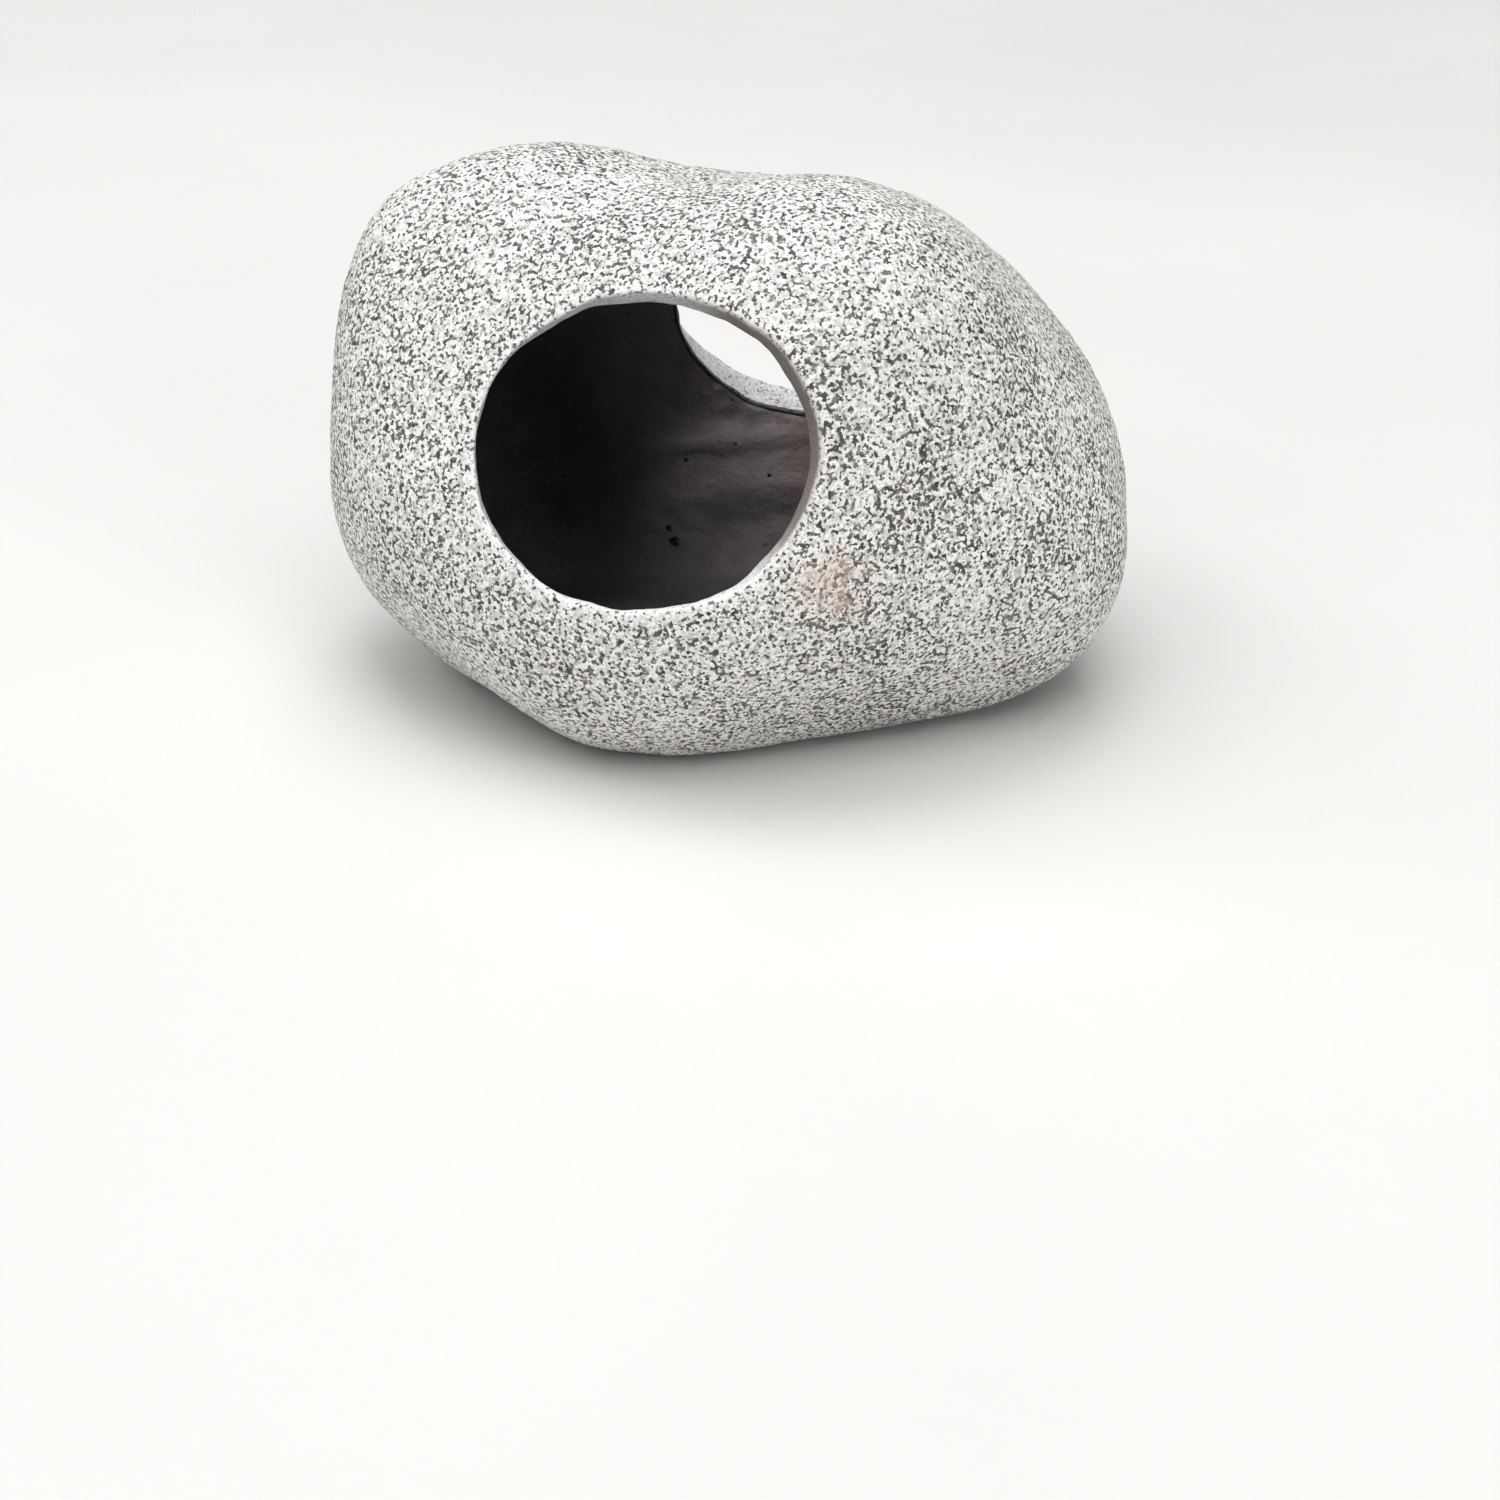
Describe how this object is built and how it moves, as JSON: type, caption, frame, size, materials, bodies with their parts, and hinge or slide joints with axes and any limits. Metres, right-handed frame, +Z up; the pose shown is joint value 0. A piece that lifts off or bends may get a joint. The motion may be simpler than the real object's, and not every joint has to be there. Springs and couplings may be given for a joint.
{
  "type": "aquarium cave ornament",
  "caption": "Hollow boulder cave ornament with a tilted round doorway at the front and another at the back, speckled like granite.",
  "frame": {"origin": "middle of the plan view, on the surface that the foot stands on", "axes": "+Z up, +X towards the long tapered end, front doorway facing -Y"},
  "size_m": [0.1478, 0.1183, 0.1002],
  "materials": {
    "cast_body": "matte, dark, slightly pitted casting",
    "bonding_resin": "satin cured resin",
    "granite_coat": "matte, sandy, pale grey with dense dark flecks"
  },
  "bodies": {
    "root": {"upper_shell": "cast_body", "base_shell": "cast_body", "seam_bead": "bonding_resin", "stone_coat": "granite_coat"}
  },
  "joints": []
}
